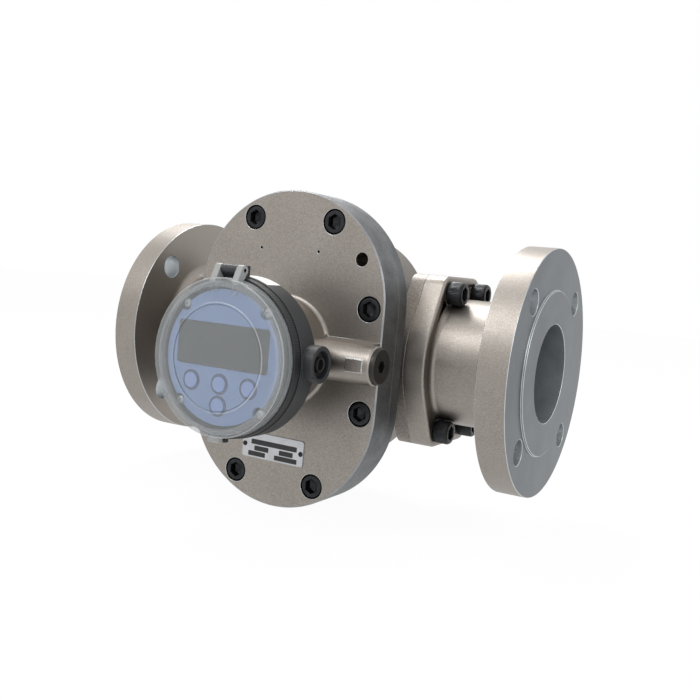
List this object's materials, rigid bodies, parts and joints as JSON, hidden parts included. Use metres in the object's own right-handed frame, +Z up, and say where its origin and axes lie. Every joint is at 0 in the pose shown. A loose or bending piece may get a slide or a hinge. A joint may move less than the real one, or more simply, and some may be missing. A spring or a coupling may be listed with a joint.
{
  "type": "oval gear flow meter",
  "caption": "Flanged oval gear flow meter with a round hinged-lid display on its bolted front cover.",
  "frame": {"origin": "on the pipe axis, in the plane of the inlet flange round its bolt holes", "axes": "+X along the pipe from the inlet to the outlet, -Y the display side, +Z up"},
  "size_m": [0.355, 0.2779, 0.241],
  "materials": {
    "cast_stainless": "satin",
    "black_oxide_steel": "satin",
    "bright_steel": "gloss",
    "gear_steel": "satin",
    "carbon_bush": "matte",
    "magnet": "gloss",
    "seal_rubber": "matte",
    "circuit_board": "satin",
    "housing_plastic": "matte",
    "lid_plastic": "gloss",
    "fascia_film": "satin",
    "lcd_glass": "gloss",
    "lcd_body": "matte",
    "key_rubber": "satin",
    "battery_wrap": "gloss",
    "black_plastic": "matte",
    "plate_metal": "satin",
    "label_film": "satin"
  },
  "bodies": {
    "meter": {"meter_body": "cast_stainless", "front_cover": "cast_stainless", "inlet_adapter": "cast_stainless", "outlet_adapter": "cast_stainless", "inlet_adapter_screws": "black_oxide_steel", "outlet_adapter_screws": "black_oxide_steel", "inlet_port_seal": "seal_rubber", "outlet_port_seal": "seal_rubber", "cover_screws": "black_oxide_steel", "cover_dowels": "bright_steel", "cover_seal": "seal_rubber", "upper_gear_shaft": "bright_steel", "upper_thrust_washers": "carbon_bush", "lower_gear_shaft": "bright_steel", "lower_thrust_washers": "carbon_bush", "pickup_board": "circuit_board", "pickup_sensors": "black_plastic", "pickup_board_screws": "bright_steel", "conduit_plug": "black_oxide_steel", "nameplate": "plate_metal", "nameplate_screws": "bright_steel", "housing_gasket": "seal_rubber", "display_housing": "housing_plastic", "housing_screws": "bright_steel", "serial_label": "label_film", "bezel_seal": "seal_rubber", "display_bezel": "housing_plastic", "battery_cells": "battery_wrap", "display_board": "circuit_board", "lcd_window": "lcd_glass", "lcd_module": "lcd_body", "fascia": "fascia_film", "key_switches": "black_plastic", "fascia_screws": "bright_steel", "lid_hinge_pin": "bright_steel", "gland_nut": "black_plastic", "gland_seal": "seal_rubber"},
    "upper_gear": {"upper_oval_gear": "gear_steel", "upper_gear_bush": "carbon_bush", "upper_gear_magnets": "magnet"},
    "lower_gear": {"lower_oval_gear": "gear_steel", "lower_gear_bush": "carbon_bush", "lower_gear_magnets": "magnet"},
    "lid": {"display_lid": "lid_plastic"},
    "left_key_cap": {"left_key": "key_rubber"},
    "middle_key_cap": {"middle_key": "key_rubber"},
    "right_key_cap": {"right_key": "key_rubber"},
    "lower_key_cap": {"lower_key": "key_rubber"}
  },
  "joints": [
    {"name": "upper_gear_turn", "type": "hinge", "parent": "meter", "child": "upper_gear", "pos_m": [0.1759, -0.035, 0.038], "axis": [0, 1, 0], "continuous": true},
    {"name": "lower_gear_turn", "type": "hinge", "parent": "meter", "child": "lower_gear", "pos_m": [0.1759, -0.035, -0.038], "axis": [0, 1, 0], "continuous": true},
    {"name": "lid_hinge", "type": "hinge", "parent": "meter", "child": "lid", "pos_m": [0.1759, -0.1727, 0.058], "axis": [-1, 0, 0], "range_deg": [0, 110]},
    {"name": "left_key_press", "type": "slide", "parent": "meter", "child": "left_key_cap", "axis": [0, 1, 0], "range_m": [0, 0.001], "stiffness_N_per_m": 400, "springref_m": -0.001},
    {"name": "middle_key_press", "type": "slide", "parent": "meter", "child": "middle_key_cap", "axis": [0, 1, 0], "range_m": [0, 0.001], "stiffness_N_per_m": 400, "springref_m": -0.001},
    {"name": "right_key_press", "type": "slide", "parent": "meter", "child": "right_key_cap", "axis": [0, 1, 0], "range_m": [0, 0.001], "stiffness_N_per_m": 400, "springref_m": -0.001},
    {"name": "lower_key_press", "type": "slide", "parent": "meter", "child": "lower_key_cap", "axis": [0, 1, 0], "range_m": [0, 0.001], "stiffness_N_per_m": 400, "springref_m": -0.001}
  ],
  "couplings": [
    {"joint": "lower_gear_turn", "follows": "upper_gear_turn", "ratio": -1}
  ]
}
